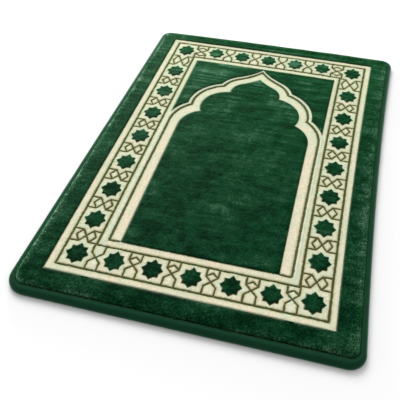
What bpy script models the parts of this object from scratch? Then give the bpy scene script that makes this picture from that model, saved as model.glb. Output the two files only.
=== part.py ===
"""Padded prayer rug, about 80 by 120 cm, lying flat on a floor.

Two pieces are built, as a maker cuts them: the plush mat, and the smooth tape folded round its rim.
Metres, +Z up, +Y towards the end that the niche points to. The origin is the centre of the footprint,
on the floor.
"""

from math import cos, pi, radians, sin

import bmesh
import bpy
from mathutils import Vector

# The footprint before its unevenness: a rectangle with round corners.
WIDTH = 0.8057
LENGTH = 1.2001
NEAR_LEFT_RADIUS = 0.050
NEAR_RIGHT_RADIUS = 0.040
FAR_RIGHT_RADIUS = 0.037
FAR_LEFT_RADIUS = 0.033

# How the sewn rug strays from that rectangle.
LEFT_DRAWN_IN = 0.0118  # the left side leans in by this much at its far end
RIGHT_WAISTED = 0.0109  # the right side is hollow by this much at mid-length
FAR_SKEWED = 0.0078  # the far side is this much nearer at its left end
FAR_BULGED = 0.0045  # and stands out by this much at its middle

MAT_HEIGHT = 0.0250  # floor to the top of the pile
SHOULDER_WIDTH = 0.0075  # the pile's soft shoulder, from the seam groove to the flat top
SEAM_HEIGHT = 0.0160  # the bottom of the groove between tape and pile

TAPE_THICK = 0.0018
TAPE_REACH = 0.0200  # how far the folded tape lies over the mat's short sides, above and below
LONG_SIDES_LESS = 0.0043  # how much less far it lies over the long sides
TAPE_HEIGHT = 0.0190  # the top of the folded edge
TAPE_ROUND_TOP = 0.0110  # width of the round from the side to the top
TAPE_ROUND_FOOT = 0.0065  # radius of the round from the side to the floor
TAPE_HEM_DIP = 0.0014  # the sewn edge of the tape is pulled down by this much
SEWN_GAP = 0.0003  # between the tape and the mat, which touch

CORNER_STEPS = 12
SIDE_STEPS = 12
ROUND_STEPS = 6
SHOULDER_STEPS = 6

PILE_GREEN = (0.012, 0.075, 0.034, 1.0)
TAPE_GREEN = (0.009, 0.062, 0.030, 1.0)


def clear_scene():
    for thing in list(bpy.data.objects):
        bpy.data.objects.remove(thing, do_unlink=True)


def fabric(name, colour, roughness):
    material = bpy.data.materials.new(name)
    material.use_nodes = True
    shader = material.node_tree.nodes["Principled BSDF"]
    shader.inputs["Base Color"].default_value = colour
    shader.inputs["Roughness"].default_value = roughness
    shader.inputs["Metallic"].default_value = 0.0
    material.diffuse_color = colour
    return material


def rounded_rectangle():
    """The straight-sided footprint's points, anticlockwise from the far end of the right side."""
    corners = ((1, 1, FAR_RIGHT_RADIUS), (-1, 1, FAR_LEFT_RADIUS))
    corners += ((-1, -1, NEAR_LEFT_RADIUS), (1, -1, NEAR_RIGHT_RADIUS))
    points = []
    for quarter, (side_x, side_y, radius) in enumerate(corners):
        centre = Vector((side_x * (WIDTH / 2 - radius), side_y * (LENGTH / 2 - radius)))
        arc = []
        for step in range(CORNER_STEPS + 1):
            turn = radians(90 * (quarter + step / CORNER_STEPS))
            arc.append(centre + Vector((cos(turn), sin(turn))) * radius)
        if points:
            points += along(points[-1], arc[0])
        points += arc
    return points + along(points[-1], points[0])


def along(start, end):
    """The points between two corners, neither corner included."""
    return [start.lerp(end, step / SIDE_STEPS) for step in range(1, SIDE_STEPS)]


def made_uneven(point):
    """Where a point of the straight-sided footprint lies on the sewn rug."""
    across = point.x / WIDTH + 0.5
    along_length = point.y / LENGTH + 0.5
    left_moves = LEFT_DRAWN_IN * along_length * (1 - across)
    right_moves = -RIGHT_WAISTED * 4 * along_length * (1 - along_length) * across
    far_moves = -FAR_SKEWED * (1 - across) + FAR_BULGED * 4 * across * (1 - across)
    return Vector((point.x + left_moves + right_moves, point.y + far_moves * along_length))


def footprint():
    """The rug's outer edge as pairs of a point and the direction that points into the rug."""
    edge = [made_uneven(point) for point in rounded_rectangle()]
    middle = Vector((0.0, 0.0))
    middle.x = (min(p.x for p in edge) + max(p.x for p in edge)) / 2
    middle.y = (min(p.y for p in edge) + max(p.y for p in edge)) / 2
    edge = [point - middle for point in edge]
    pairs = []
    for index, point in enumerate(edge):
        before = (point - edge[index - 1]).normalized()
        after = (edge[(index + 1) % len(edge)] - point).normalized()
        heading = (before + after).normalized()
        pairs.append((point, Vector((-heading.y, heading.x))))
    return pairs


def arc_profile(centre, width, height, start, end, steps):
    """Points of an elliptic arc as (inset, height above the floor), with inset growing into the rug."""
    points = []
    for step in range(steps + 1):
        turn = radians(start + (end - start) * step / steps)
        points.append((centre[0] - width * cos(turn), centre[1] + height * sin(turn)))
    return points


def tape_profile():
    """The folded tape's closed section: the outer face from top hem to floor hem, then back inside."""
    side_height = TAPE_HEIGHT - TAPE_ROUND_TOP
    top_centre = (TAPE_ROUND_TOP, side_height)
    foot_centre = (TAPE_ROUND_FOOT, TAPE_ROUND_FOOT)
    hem_height = TAPE_HEIGHT - TAPE_HEM_DIP
    outer = [(TAPE_REACH, hem_height)]
    outer += arc_profile(top_centre, TAPE_ROUND_TOP, TAPE_ROUND_TOP, 90, 0, ROUND_STEPS)
    outer += arc_profile(foot_centre, TAPE_ROUND_FOOT, TAPE_ROUND_FOOT, 0, -90, ROUND_STEPS)
    outer += [(TAPE_REACH, 0.0)]
    inner_top = TAPE_ROUND_TOP - TAPE_THICK
    inner_foot = TAPE_ROUND_FOOT - TAPE_THICK
    inner = [(TAPE_REACH, TAPE_THICK)]
    inner += arc_profile(foot_centre, inner_foot, inner_foot, -90, 0, ROUND_STEPS)
    inner += arc_profile(top_centre, inner_top, inner_top, 0, 90, ROUND_STEPS)
    inner += [(TAPE_REACH, hem_height - TAPE_THICK)]
    return outer + inner


def mat_profile():
    """The mat's section from the floor to the pile's top: thin inside the tape, full behind it."""
    covered = TAPE_THICK + SEWN_GAP
    side_height = TAPE_HEIGHT - TAPE_ROUND_TOP
    seam = TAPE_REACH + SEWN_GAP
    top = TAPE_ROUND_TOP - covered
    foot = TAPE_ROUND_FOOT - covered
    shoulder_centre = (seam + SHOULDER_WIDTH, SEAM_HEIGHT)
    shoulder_rise = MAT_HEIGHT - SEAM_HEIGHT
    section = [(seam, 0.0), (seam, covered)]
    section += arc_profile((TAPE_ROUND_FOOT, TAPE_ROUND_FOOT), foot, foot, -90, 0, ROUND_STEPS)
    section += arc_profile((TAPE_ROUND_TOP, side_height), top, top, 0, 90, ROUND_STEPS)
    section += [(seam, TAPE_HEIGHT - TAPE_HEM_DIP - covered)]
    section += arc_profile(shoulder_centre, SHOULDER_WIDTH, shoulder_rise, 0, 90, SHOULDER_STEPS)
    return section


def ring(mesh, pairs, inset, height):
    """The corners of one closed loop, at this inset from the rug's outer edge.

    The inset is the one at the short sides. It is less at the long sides, where the tape is narrower.
    """
    share = (inset - TAPE_ROUND_TOP) / (TAPE_REACH - TAPE_ROUND_TOP)
    less = LONG_SIDES_LESS * min(max(share, 0.0), 1.0)
    places = [point + inward * (inset - less * inward.x**2) for point, inward in pairs]
    return [mesh.verts.new((place.x, place.y, height)) for place in places]


def lofted(name, section, closed_section):
    """The solid that a section sweeps round the rug's outer edge, with flat ends where it isn't closed."""
    mesh = bmesh.new()
    pairs = footprint()
    rings = [ring(mesh, pairs, inset, height) for inset, height in section]
    bands = list(zip(rings, rings[1:]))
    if closed_section:
        bands.append((rings[-1], rings[0]))
    else:
        mesh.faces.new(rings[0])
        mesh.faces.new(rings[-1])
    for lower, upper in bands:
        for i in range(len(pairs)):
            mesh.faces.new((lower[i - 1], lower[i], upper[i], upper[i - 1]))
    bmesh.ops.recalc_face_normals(mesh, faces=mesh.faces)
    data = bpy.data.meshes.new(name)
    mesh.to_mesh(data)
    mesh.free()
    data.shade_smooth()
    data.set_sharp_from_angle(angle=pi / 5)
    return bpy.data.objects.new(name, data)


def build():
    clear_scene()
    rug = bpy.data.collections.new("prayer_rug")
    bpy.context.scene.collection.children.link(rug)

    mat = lofted("plush_mat", mat_profile(), closed_section=False)
    mat.data.materials.append(fabric("plush_pile", PILE_GREEN, 0.90))
    rug.objects.link(mat)

    tape = lofted("edge_binding", tape_profile(), closed_section=True)
    tape.data.materials.append(fabric("binding_tape", TAPE_GREEN, 0.70))
    rug.objects.link(tape)


build()
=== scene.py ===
"""Prayer rug: the plush, its carved pattern, the folded tape and the stage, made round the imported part.

Metres, +Z up, +Y towards the end that the niche points to. Each operator makes one piece or one group
of like pieces. The pattern is worked out from the sizes below: two cream lines round a band of stars
and interlace, and a niche whose outline is built from arcs.
"""

from functools import partial
from math import cos, pi, radians, sin

import bpy
import numpy as np
from bpy.props import FloatProperty, FloatVectorProperty, PointerProperty
from mathutils import Euler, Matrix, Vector


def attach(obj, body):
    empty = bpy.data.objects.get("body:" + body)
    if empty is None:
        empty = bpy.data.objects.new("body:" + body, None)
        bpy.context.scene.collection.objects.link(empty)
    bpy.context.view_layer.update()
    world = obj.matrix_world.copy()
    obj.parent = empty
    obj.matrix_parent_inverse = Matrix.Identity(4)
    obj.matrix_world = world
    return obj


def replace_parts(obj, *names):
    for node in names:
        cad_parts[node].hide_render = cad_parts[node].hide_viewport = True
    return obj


bl_info = {
    "name": "Prayer rug",
    "version": (1, 0, 0),
    "blender": (4, 5, 0),
    "location": "3D View > Sidebar > Rug",
    "description": "Makes a padded prayer rug with a carved plush pile and a folded tape binding",
    "category": "Add Mesh",
}

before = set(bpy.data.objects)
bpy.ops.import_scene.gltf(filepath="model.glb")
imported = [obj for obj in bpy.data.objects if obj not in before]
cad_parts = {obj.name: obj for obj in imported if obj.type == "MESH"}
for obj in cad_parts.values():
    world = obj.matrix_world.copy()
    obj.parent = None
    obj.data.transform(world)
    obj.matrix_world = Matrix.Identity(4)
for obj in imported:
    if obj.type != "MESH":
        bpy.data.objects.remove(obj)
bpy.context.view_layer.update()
BODY = "root"

# The footprint, as the solids have it: a rectangle with round corners, made uneven by the sewing.
WIDTH = 0.8057
LENGTH = 1.2001
NEAR_LEFT_RADIUS = 0.050
NEAR_RIGHT_RADIUS = 0.040
FAR_RIGHT_RADIUS = 0.037
FAR_LEFT_RADIUS = 0.033
LEFT_DRAWN_IN = 0.0118
RIGHT_WAISTED = 0.0109
FAR_SKEWED = 0.0078
FAR_BULGED = 0.0045

# The tape's folded section and the pile's shoulder beside it, as the solids have them but for the hem.
PILE_TOP = 0.0250
SHOULDER_WIDTH = 0.0075
SEAM_HEIGHT = 0.0160
TAPE_THICK = 0.0018
TAPE_REACH = 0.0200
LONG_SIDES_LESS = 0.0043  # how much less far the tape lies over the long sides
PAD_PER_SIDE, TAPE_PER_SIDE, MEASURED_PER_SIDE = 90, 180, 600  # points along each side of the rug
TAPE_HEIGHT = 0.0190
TAPE_ROUND_TOP = 0.0110
TAPE_ROUND_FOOT = 0.0065
TOP_CENTRE = (TAPE_ROUND_TOP, TAPE_HEIGHT - TAPE_ROUND_TOP)  # inset and height of the round edge's centre
FOOT_CENTRE = (TAPE_ROUND_FOOT, TAPE_ROUND_FOOT)
TAPE_HEM_DIP = 0.0030  # the seam pulls the hem further down than the solids show
TAPE_FOOT_ROW = 0.0130  # inset of a row of points in the flat part under the rug
PAD_BEVEL = (0.0040, 0.0014)  # width and drop of the foam's cut top edge
PUCKER, PUCKER_SIZE = 0.0003, 0.0075  # puckers at the hem
PUCKER_START = 0.3  # share of the tape's reach where they start
SLACK, SLACK_SIZE, SLACK_HEIGHT = 0.0005, 0.050, 0.015  # the last is the height that has all of it
# The tape's painted highlight along its top and painted shade at the seam lie between these insets.
TAPE_HIGHLIGHT_INSETS = (0.0060, 0.0150)  # insets between which the knit grows paler
TAPE_DRAWN_IN = (0.0158, 0.0184)  # insets between which the seam's shade falls on it
TAPE_SHADE = 3.0  # how strong that shade is, against the stretch
SEWN_GAP = 0.0003
SEAM_INSET = TAPE_REACH + SEWN_GAP
CLOTH_BASE = 0.0155  # underside of the pile cloth, just over the foam

# Where the pattern lies on the rug. It was woven straight, and the sewing pulled it a little.
PATTERN_CENTRE = (0.00395, 0.0036)
PATTERN_WAISTED = 0.0088
PATTERN_BULGED = 0.0036
PATTERN_FLARED = 0.0050  # how much wider it grows towards the far end, for each metre

# Rectangles of the pattern as (half width, near edge, far edge).
FRAME_EDGE = (0.3330, -0.5300, 0.5312)
OUTER_LINE = (0.3145, -0.5107, 0.5134)
INNER_LINE = (0.2431, -0.4340, 0.4385)
FIELD_EDGE = (0.2275, -0.4135, 0.4190)
# The frame's edge stands a little off to the left, and leans back between two distances along the rug.
FRAME_STRAYS, FRAME_LEAN = (0.0021, -0.0012), (-0.30, 0.30)
LINE_HALF_WIDTH = 0.0030
LACE_HALF_WIDTH = 0.0024
LINE_UNEVEN, LINE_UNEVEN_SIZE = 0.0007, 0.0055  # how far the carved lines' edges waver, in what lumps
GROOVE_WALL = (-0.0024, 0.0016)  # where a carved line's wall starts and ends, from the line's edge
CREAM_SIDE = (-0.0005, 0.0010)  # where a carved line gives way to green pile, from the green's edge
NARROW_CREAM = (0.0090, 0.0120)  # widths of cream that count as thin and as wide
NARROW_KEPT = 0.40  # share of the cream's drop that a thin cream line is spared
EDGE_CUT, EDGE_CUT_REACH = 0.0008, 0.0014  # depth and half width of the nick along the green's edge
FRAY_DEPTH = 0.0022  # how far the tufts at a colour's edge end apart from each other

# The niche's outline, right half, from the top lobe down: (centre x, centre y, radius) of each arc.
NICHE_LOBES = ((0.0205, 0.2710, 0.0570), (0.0665, 0.1820, 0.0845), (0.1050, 0.0690, 0.0875))
GROOVE_LOBES = ((0.0205, 0.2710, 0.0849), (0.0645, 0.1880, 0.1125), (0.1060, 0.0840, 0.1150))
KEEL_TURN = radians(60)  # where the top lobe's arc gives way to the hollow arc of the pointed top
KEEL_SPAN = 0.2990  # top lobe's radius and hollow arc's radius together
NICHE_CORE = (0.0900, 0.2150)  # a plain block inside the lobes, so that nothing is left between them
GROOVE_HALF_WIDTH = 0.0033
GROOVE_WIDENED = 0.0006  # how much more that is round the arch
ARCH_START = (0.05, 0.15)  # where the legs give way to the arch
OUTLINE_REACH = 0.0115  # from the groove's middle to the outer edge of the thin cream line
OUTLINE_THINNED = 0.0034  # how much less that is at the pointed top
OUTLINE_TOP = (0.335, 0.400)  # where it thins
OUTLINE_MIDDLE = 0.0070  # from the groove's middle to about the middle of the thin cream line
# The legs stand a little off the middle, and the arch leans back between two distances along the rug.
NICHE_STRAYS, NICHE_LEAN = (-0.0008, 0.0026), (0.05, 0.30)
FOOT_LINE = -0.4115

# Stars: an upright rectangle over a diamond, as half sizes.
STAR_BLOCK = (0.0195, 0.0219)
STAR_POINTS = (0.0281, 0.0325)
ROW_STAR_SHARE = 0.94  # size of the stars between the corners of a row, against the others
COLUMN_X = 0.2780
NEAR_CORNER_Y = -0.4706
NEAR_ROW_Y = -0.4722
NEAR_PITCH = 0.0925
FAR_ROW_Y = 0.4765
FAR_ROW_X = 0.0024  # the far row's middle star
FAR_PITCH = 0.0890
FAR_CORNER_Y = 0.4710
# Half sizes of the interlace's crossings. In a column, the third size is how far out a lozenge's tip is.
NEAR_CROSSING = (0.0142, 0.0142)
FAR_CROSSING = (0.0140, 0.0165)
FAR_END_CROSSING = (0.0180, 0.0140)
COLUMN_CROSSING = (0.0128, 0.0190, 0.0247)
TOP_CROSSING = (0.0160, 0.0285, 0.0262)
FAR_CROSSING_LOW, FAR_END_LOW = 0.001, 0.002  # how far they lie nearer than the far row's stars
LOZENGE_ROOF = 0.0110  # how far a lozenge's tip stands over the crossing's ends
LACE_REACH = 0.012  # no line of the interlace counts further off than this
LACE_FAR_OFF = 0.05  # the distance that stands for none in reach
# The woven columns aren't quite even: the middle of each star between the corner ones, left and right.
LEFT_STARS_Y = (-0.3568, -0.2439, -0.1316, -0.0126, 0.1020, 0.2200, 0.3387)
RIGHT_STARS_Y = (-0.3517, -0.2393, -0.1263, -0.0124, 0.1034, 0.2195, 0.3387)

# The light comes from the far left: how much from the left, against what comes from the far end.
LIGHT_FROM_LEFT = 0.8
# The green pile's edges that face the light carry painted light, a wide pale blend into the cream,
# but less so at the stars, on the right side and beside the thin outline: the share that is left or lost,
# and between which distances.
STAR_LIT_BLEND, STAR_BESIDE = 0.45, (0.0, 0.010)
RIGHT_CRISPER, RIGHT_FROM = 0.55, (0.290, 0.325)
OUTLINE_BESIDE = (0.006, 0.012)
# The cream beside a carved line is in its shade, but not near the green or on the thin outline.
SHADE_BESIDE_GREEN = (-0.0080, -0.0030)
SHADE_BESIDE_OUTLINE = (0.0045, 0.0060)
# How cool the cream is on a scale of 0 to 1, how much cooler in the band of stars, and how much warmer
# on the niche's cream legs.
COOLNESS, BAND_COOLER, LEG_WARMER = 0.80, 0.10, 0.18
BAND_BLEND = (0.0, 0.002)
LEG_BLEND = (-0.002, 0.0)
LEG_TO_ARCH, ARCH_COOLER = (0.02, 0.12), 2.2  # from where on the arch is cooler, and by how many times
# How strongly each clump of tufts shows: inside the border and on it, then how much more at the rim
# and at the long sides, and how much less at the right rim.
FLAT_GRAIN, BORDER_GRAIN = 0.42, 0.70
RIM_GRAIN, SIDE_GRAIN, RIGHT_RIM_SMOOTHER = 0.60, 0.25, 0.35

# The green pile leans in broad drifts, and in streaks across the rug that sway a little and are
# stronger towards the far end, but less so on the right.
DRIFT, DRIFT_SIZE = 0.020, 0.1100
STREAK, STREAK_SIZE = 0.070, 0.0085
STREAK_RATIO = 0.14  # a streak's width against its length
SWAY, SWAY_SIZE = 0.006, 0.060
FAR_STREAK, FAR_STREAK_FROM = 0.150, (0.020, 0.300)
RIGHT_STREAK_LESS, RIGHT_STREAK_FROM = 0.6, (0.280, 0.340)
# At its cut edges it carries painted shade, the more so on a side that faces away from the light.
CUT_DARKER, CUT_AWAY_DARKER, CUT_REACH = 0.05, 0.04, 0.0065
# At the rim it carries painted sheen, paler where the pile curves away: on all sides, at the long sides,
# and more to the right than to the left.
RIM_REACH, RIM_PALER, SIDE_PALER, RIGHT_PALER = 0.019, 0.02, 0.13, 0.07
LEFT_RIM = ((0.34, 0.010), (0.20, 0.003))  # the left rim faces the light: how much paler, and how far in
# The round shoulder at the near and far ends carries a painted highlight.
END_SHOULDER_HIGHLIGHT = 0.20  # on the round shoulder at the near and far ends
SEAM_DARKER, SEAM_SHADE = 0.45, (0.0, 0.0016)  # in the seam, between these distances from it
SHOULDER_LUMP, SHOULDER_LUMP_SIZE = 0.0006, 0.0180

# Where the pile was brushed, with painted sheen and shade for how the light falls on it: middle x and y,
# reach in x and y, and how much paler it is there.
BRUSHED_AND_SHEEN = (
    (-0.150, 0.330, 0.070, 0.090, 0.150),
    (0.160, 0.300, 0.060, 0.100, -0.050),
    (-0.370, 0.250, 0.050, 0.300, -0.050),
    (0.370, 0.000, 0.050, 0.600, 0.020),
    (0.370, 0.420, 0.050, 0.150, 0.020),
    (0.200, 0.570, 0.200, 0.030, -0.040),
    (-0.050, -0.580, 0.380, 0.035, -0.050),
    (0.000, -0.350, 0.400, 0.220, -0.025),
    (0.000, -0.472, 0.350, 0.040, -0.030),
    (-0.178, 0.477, 0.030, 0.030, 0.150),
    (0.091, 0.477, 0.030, 0.030, 0.110),
)

# The pile's unevenness, from clumps of tufts to the sweeps that brushing leaves:
# height, size across the rug, how many times shorter it is along the rug, and seed.
NAP = (
    (0.00024, 0.0023, 1.3, 1),
    (0.00026, 0.0062, 1.5, 2),
    (0.00030, 0.0230, 1.4, 3),
    (0.00035, 0.1100, 1.0, 4),
)

# The loose tufts at the rim, most of them near the seam.
TUFT_COUNT = 40000
TUFT_SPREAD = (1.1, 1.9)  # the two numbers of the beta distribution that gathers them there
TUFT_ROWS = 17  # how many rows of the border they stand in
TUFT_RADIUS = 0.00042
TUFT_ROOT = 0.0012  # how deep they stand in the pile
TUFT_LENGTHS = (0.55, 1.15)  # least and most, against the tuft length
TUFT_OUTWARD, TUFT_STRAYS = 0.35, 0.42  # how much they lean out of the rug, and every way
# Tufts on the left rim, which faces the light, carry a painted highlight.
TUFT_PALER, LEFT_TUFT_HIGHLIGHT = 0.05, 0.20
TUFT_CLUMP, TUFT_CLUMP_SIZE = 0.20, 0.0048
TUFT_UNLIKE = 0.06  # how much each differs from the next
OFF_EDGES = 0.02  # a distance at which none of the pattern's edges shows

# The stage. The camera is where the perspective of the photo puts it; its angles are in degrees.
FLOOR_REACH, FLOOR_BELOW = 9.0, 0.0003
ROOM_LIGHT = 0.71
CAMERA_PLACE = (0.2452, -1.3205, 1.1167)
CAMERA_DOWN, CAMERA_TURN, CAMERA_ROLL = 43.873, 14.673, 0.402
SENSOR_WIDTH, FOCAL_LENGTH = 36.0, 55.89  # millimetres
# Name, place, what it points at, diameter and power. The key light is broad and soft, behind the rug's
# far left corner, and the rake is a low one that grazes the pile there.
LIGHTS = (
    ("key", (-8.0, 14.8, 15.6), (0.0, 0.0, 0.0), 15.2, 3560.0),
    ("rake", (-1.3, 1.9, 0.3), (-0.2, 0.3, 0.0), 0.8, 35.0),
)


def linear(text):
    """An sRGB hex colour as a linear one."""
    parts = [int(text[i : i + 2], 16) / 255 for i in (1, 3, 5)]
    return tuple(p / 12.92 if p <= 0.04045 else ((p + 0.055) / 1.055) ** 2.4 for p in parts)


def length_prop(name, text, default):
    return FloatProperty(name=name, description=text, default=default, unit="LENGTH", precision=4)


def colour_prop(name, text, default):
    return FloatVectorProperty(
        name=name, description=text, default=linear(default), subtype="COLOR", size=3, min=0, max=1
    )


class RugSizes(bpy.types.PropertyGroup):
    cream_drop: length_prop("Cream drop", "How much lower the cream pile is sheared", 0.0026)
    groove_depth: length_prop("Groove depth", "Depth of the carved dark lines", 0.0026)
    edge_round: length_prop("Edge round", "Width of the green pile's round edge at a cream line", 0.0042)
    field_pitch: length_prop("Field pitch", "Mesh spacing of the field", 0.00214)
    band_pitch: length_prop("Band pitch", "Mesh spacing of the star bands", 0.00136)
    border_pitch: length_prop("Border pitch", "Mesh spacing of the green border", 0.0021)
    tuft_length: length_prop("Tuft length", "Length of the loose tufts at the pile's rim", 0.0030)


class RugColours(bpy.types.PropertyGroup):
    green_deep: colour_prop("Deep green", "Between the tufts, where no light comes", "#001308")
    green_mid: colour_prop("Green", "The pile's main colour", "#072F1B")
    green_pale: colour_prop("Pale green", "Pile that leans towards the light", "#143722")
    # Tips and frosted green also serve as the painted highlight where the rim and the brushed patches are
    # lit.
    green_tips: colour_prop("Green tips", "Tips of tufts that are brushed apart", "#4C6E59")
    green_frost: colour_prop("Frosted green", "Tips seen end on, at the lit rim", "#A3BFAF")
    cream: colour_prop("Cream", "The pattern's main colour, on its warm side", "#E8DAC3")
    cream_cool: colour_prop("Cool cream", "Where the dye took a little green", "#C9D5BD")
    cream_shade: colour_prop("Shaded cream", "Cream pile that leans away from the light", "#BDB590")
    line: colour_prop("Carved line", "Olive brown at the bottom of the carved lines", "#525033")
    tape: colour_prop("Tape", "The binding tape", "#0E3320")
    underside: colour_prop("Underside", "The cloth under the rug", "#3C4A40")
    floor: colour_prop("Floor", "The plain floor", "#F2F2F2")


def hashed(ix, iy, seed):
    """A repeatable number from -1 to 1 for each pair of whole numbers."""
    mixed = (ix * 374761393 + iy * 668265263 + seed * 974634777) & 0xFFFFFFFF
    mixed = ((mixed ^ (mixed >> 13)) * 1274126177) & 0xFFFFFFFF
    return ((mixed ^ (mixed >> 16)) & 0xFFFFFF) / 0x7FFFFF - 1.0


def lumps(x, y, size, seed):
    """Smooth unevenness from -1 to 1 at each place, in lumps of this size. Each seed gives other lumps."""
    x, y = x / size, y / size
    column, row = np.floor(x).astype(np.int64), np.floor(y).astype(np.int64)
    right, up = x - column, y - row
    right, up = right * right * (3 - 2 * right), up * up * (3 - 2 * up)
    low, high = (
        hashed(column, row + k, seed) * (1 - right) + hashed(column + 1, row + k, seed) * right
        for k in (0, 1)
    )
    return low * (1 - up) + high * up


def unit(vectors):
    """Vectors of length 1 that point the same way."""
    return vectors / np.linalg.norm(vectors, axis=1)[:, None]


def ramp(value, start, end):
    """0 before start, 1 after end, and smooth between."""
    t = np.clip((value - start) / (end - start), 0.0, 1.0)
    return t * t * (3 - 2 * t)


# ---- The footprint ----


def made_uneven(points):
    """Where points of the straight-sided footprint lie on the sewn rug."""
    x, y = points[..., 0], points[..., 1]
    across, length = x / WIDTH + 0.5, y / LENGTH + 0.5
    left = LEFT_DRAWN_IN * length * (1 - across)
    right = -RIGHT_WAISTED * 4 * length * (1 - length) * across
    far = -FAR_SKEWED * (1 - across) + FAR_BULGED * 4 * across * (1 - across)
    return np.stack([x + left + right, y + far * length], axis=-1)


def straight_side(length, start_radius, end_radius, count):
    """Points along a side from the middle of one round corner to the middle of the next.

    Each is a distance along the side and a depth behind it.
    """
    start_arc, end_arc = start_radius * pi / 4, end_radius * pi / 4
    straight = length - start_radius - end_radius
    gone = np.linspace(0, start_arc + straight + end_arc, count, endpoint=False)
    before = np.clip(pi / 4 - gone / start_radius, 0, None)
    after = np.clip((gone - start_arc - straight) / end_radius, 0, None)
    along = start_radius * (1 - np.sin(before)) + np.clip(gone - start_arc, 0, straight)
    along += end_radius * np.sin(after)
    return along, start_radius * (1 - np.cos(before)) + end_radius * (1 - np.cos(after))


def straight_loop(inset, per_side):
    """Points round the straight-sided footprint, anticlockwise from the near left corner's middle.

    The inset is the one at the short sides. It is less at the long sides, where the tape is narrower.
    """
    share = (inset - TAPE_ROUND_TOP) / (TAPE_REACH - TAPE_ROUND_TOP)
    less = LONG_SIDES_LESS * min(max(share, 0.0), 1.0)
    half_x, half_y = WIDTH / 2 - inset + less, LENGTH / 2 - inset
    corners = (
        (-half_x, -half_y, NEAR_LEFT_RADIUS),
        (half_x, -half_y, NEAR_RIGHT_RADIUS),
        (half_x, half_y, FAR_RIGHT_RADIUS),
        (-half_x, half_y, FAR_LEFT_RADIUS),
    )
    sides = []
    for start, end in zip(corners, corners[1:] + corners[:1]):
        heading = np.sign([end[0] - start[0], end[1] - start[1]])
        inward = np.array([-heading[1], heading[0]])
        length = abs(end[0] - start[0]) + abs(end[1] - start[1])
        radii = [max(corner[2] - inset + less / 2, 1e-6) for corner in (start, end)]
        along, depth = straight_side(length, *radii, per_side)
        sides.append(np.array(start[:2]) + along[:, None] * heading + depth[:, None] * inward)
    return np.concatenate(sides)


def middle_of(points):
    """The middle of the rectangle that holds these points."""
    return (points.min(axis=0) + points.max(axis=0)) / 2


MIDDLE = middle_of(made_uneven(straight_loop(0.0, MEASURED_PER_SIDE)))


def edge_loop(inset, per_side):
    """Points of the sewn rug at this inset from its outer edge."""
    return made_uneven(straight_loop(inset, per_side)) - MIDDLE


# ---- The pattern ----


def off_pattern(x, y):
    """How far the sewing moved the pattern at each place."""
    across, length = x / WIDTH + 0.5, y / LENGTH + 0.5
    moved_x = PATTERN_FLARED * x * y - PATTERN_WAISTED * 4 * length * (1 - length) * across
    moved_y = PATTERN_BULGED * 4 * across * (1 - across) * length
    return moved_x, moved_y


def on_rug(px, py):
    """Places on the rug of places in the straight pattern."""
    moved_x, moved_y = off_pattern(px, py)
    return px + moved_x + PATTERN_CENTRE[0], py + moved_y + PATTERN_CENTRE[1]


def on_pattern(x, y):
    """Places in the straight pattern of places on the rug, found in a few steps, each nearer."""
    x, y = x - PATTERN_CENTRE[0], y - PATTERN_CENTRE[1]
    px, py = x, y
    for _ in range(4):
        moved_x, moved_y = off_pattern(px, py)
        px, py = x - moved_x, y - moved_y
    return px, py


def box_distance(x, y, box):
    """Distance from a rectangle of the pattern, below zero inside it."""
    half, near, far = box
    dx = np.abs(x) - half
    dy = np.abs(y - (near + far) / 2) - (far - near) / 2
    outside = np.hypot(np.maximum(dx, 0), np.maximum(dy, 0))
    return outside + np.minimum(np.maximum(dx, dy), 0)


def niche_distance(x, y, lobes):
    """Distance from an outline of lobes under a pointed top, below zero inside it."""
    x = np.abs(x + NICHE_STRAYS[0] + NICHE_STRAYS[1] * ramp(y, *NICHE_LEAN))
    top_x, top_y, top_radius = lobes[0]
    dx, dy = x - top_x, y - top_y
    hollow_x = top_x + KEEL_SPAN * cos(KEEL_TURN)
    hollow_y = top_y + KEEL_SPAN * sin(KEEL_TURN)
    keel = KEEL_SPAN - top_radius - np.hypot(x - hollow_x, y - hollow_y)
    pointed = dy * cos(KEEL_TURN) > dx * sin(KEEL_TURN)
    found = np.where(pointed, keel, np.hypot(dx, dy) - top_radius)
    for lobe_x, lobe_y, radius in lobes[1:]:
        round_part = np.hypot(x - lobe_x, y - lobe_y) - radius
        if (lobe_x, lobe_y, radius) == lobes[-1]:
            round_part = np.where(y < lobe_y, x - lobe_x - radius, round_part)
        found = np.minimum(found, round_part)
    return np.minimum(found, np.maximum(x - NICHE_CORE[0], y - NICHE_CORE[1]))


def star_places():
    """The middle of each star, and its size against the largest ones."""
    places = []
    for side, column in ((-1, LEFT_STARS_Y), (1, RIGHT_STARS_Y)):
        for star_y in (NEAR_CORNER_Y, *column, FAR_CORNER_Y):
            places.append((side * COLUMN_X, star_y, 1.0))
    for i in range(-2, 3):
        places.append((i * NEAR_PITCH, NEAR_ROW_Y, ROW_STAR_SHARE))
        places.append((FAR_ROW_X + i * FAR_PITCH, FAR_ROW_Y, ROW_STAR_SHARE))
    return places


def star_distance(x, y):
    """Distance from the nearest star, below zero inside it."""
    found = np.full_like(x, np.inf)
    for star_x, star_y, share in star_places():
        wide, high = STAR_POINTS[0] * share, STAR_POINTS[1] * share
        slope = wide * high / np.hypot(wide, high)
        dx, dy = np.abs(x - star_x), np.abs(y - star_y)
        block = np.maximum(dx - STAR_BLOCK[0] * share, dy - STAR_BLOCK[1] * share)
        points = (dx / wide + dy / high - 1) * slope
        found = np.minimum(found, np.minimum(block, points))
    return found


def cross_lines(half_x, half_y):
    """The two lines of a crossing."""
    return [(-half_x, -half_y, half_x, half_y), (-half_x, half_y, half_x, -half_y)]


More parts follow.
